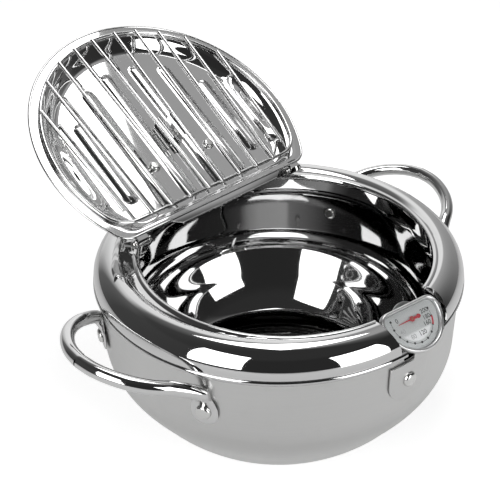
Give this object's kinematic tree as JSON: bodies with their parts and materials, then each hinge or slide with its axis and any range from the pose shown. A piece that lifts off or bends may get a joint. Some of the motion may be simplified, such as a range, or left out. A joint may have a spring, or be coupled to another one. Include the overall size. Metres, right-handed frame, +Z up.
{
  "type": "deep fryer pot",
  "caption": "Round-bottomed stainless steel frying pot with two loop handles, a splash collar, a hinged D-shaped lid that carries a wire draining rack, and a dial thermometer.",
  "frame": {"origin": "centre of the pan's flat bottom face", "axes": "+Z up; the thermometer is at -Y, the lid's hinge at +Y, and the loop handles point along +X and -X"},
  "size_m": [0.3212, 0.3128, 0.2176],
  "materials": {
    "satin_steel": "18-8 stainless steel, satin outside and mirror inside",
    "polished_steel": "18-8 stainless steel, mirror polished",
    "clear_lens": "clear heat-resistant window",
    "dial_sheet": "silver dial sheet with a printed scale",
    "red_needle": "red painted",
    "spindle_steel": "turned steel",
    "bimetal_strip": "bare bimetal strip"
  },
  "bodies": {
    "pan": {"pan_body": "satin_steel", "right_handle": "polished_steel", "left_handle": "polished_steel", "right_handle_back_rivet": "polished_steel", "right_handle_front_rivet": "polished_steel", "left_handle_back_rivet": "polished_steel", "left_handle_front_rivet": "polished_steel", "thermometer_bracket": "satin_steel", "bracket_rivet": "polished_steel"},
    "collar": {"splash_collar": "polished_steel", "hinge_bracket_left": "polished_steel", "hinge_bracket_right": "polished_steel", "hinge_pin_left": "polished_steel", "hinge_pin_right": "polished_steel"},
    "lid": {"lid_shell": "polished_steel", "lid_handle": "polished_steel", "lid_handle_rivet_left": "polished_steel", "lid_handle_rivet_right": "polished_steel", "rack_clip": "polished_steel", "rack_clip_rivet": "polished_steel"},
    "rack": {"wire_rack": "polished_steel"},
    "thermometer": {"thermometer_case": "polished_steel", "thermometer_lens": "clear_lens", "dial_face": "dial_sheet", "probe_stem": "polished_steel", "bimetal_coil": "bimetal_strip"},
    "pointer": {"needle": "red_needle", "needle_spindle": "spindle_steel"}
  },
  "joints": [
    {"name": "collar_lift", "type": "slide", "parent": "pan", "child": "collar", "axis": [0, 0, 1], "range_m": [0, 0.06]},
    {"name": "lid_hinge", "type": "hinge", "parent": "collar", "child": "lid", "pos_m": [0, 0.054, 0.1266], "axis": [1, 0, 0], "range_deg": [0, 147.4]},
    {"name": "rack_release", "type": "slide", "parent": "lid", "child": "rack", "axis": [0, -0.5388, 0.8425], "range_m": [0, 0.03]},
    {"name": "thermometer_pull", "type": "slide", "parent": "pan", "child": "thermometer", "axis": [-0.095, -0.6357, 0.766], "range_m": [0, 0.115]},
    {"name": "needle_turn", "type": "hinge", "parent": "thermometer", "child": "pointer", "pos_m": [0.0021, -0.1085, 0.1124], "axis": [-0.095, -0.6357, 0.766], "range_deg": [-14.6, 187.4]}
  ]
}
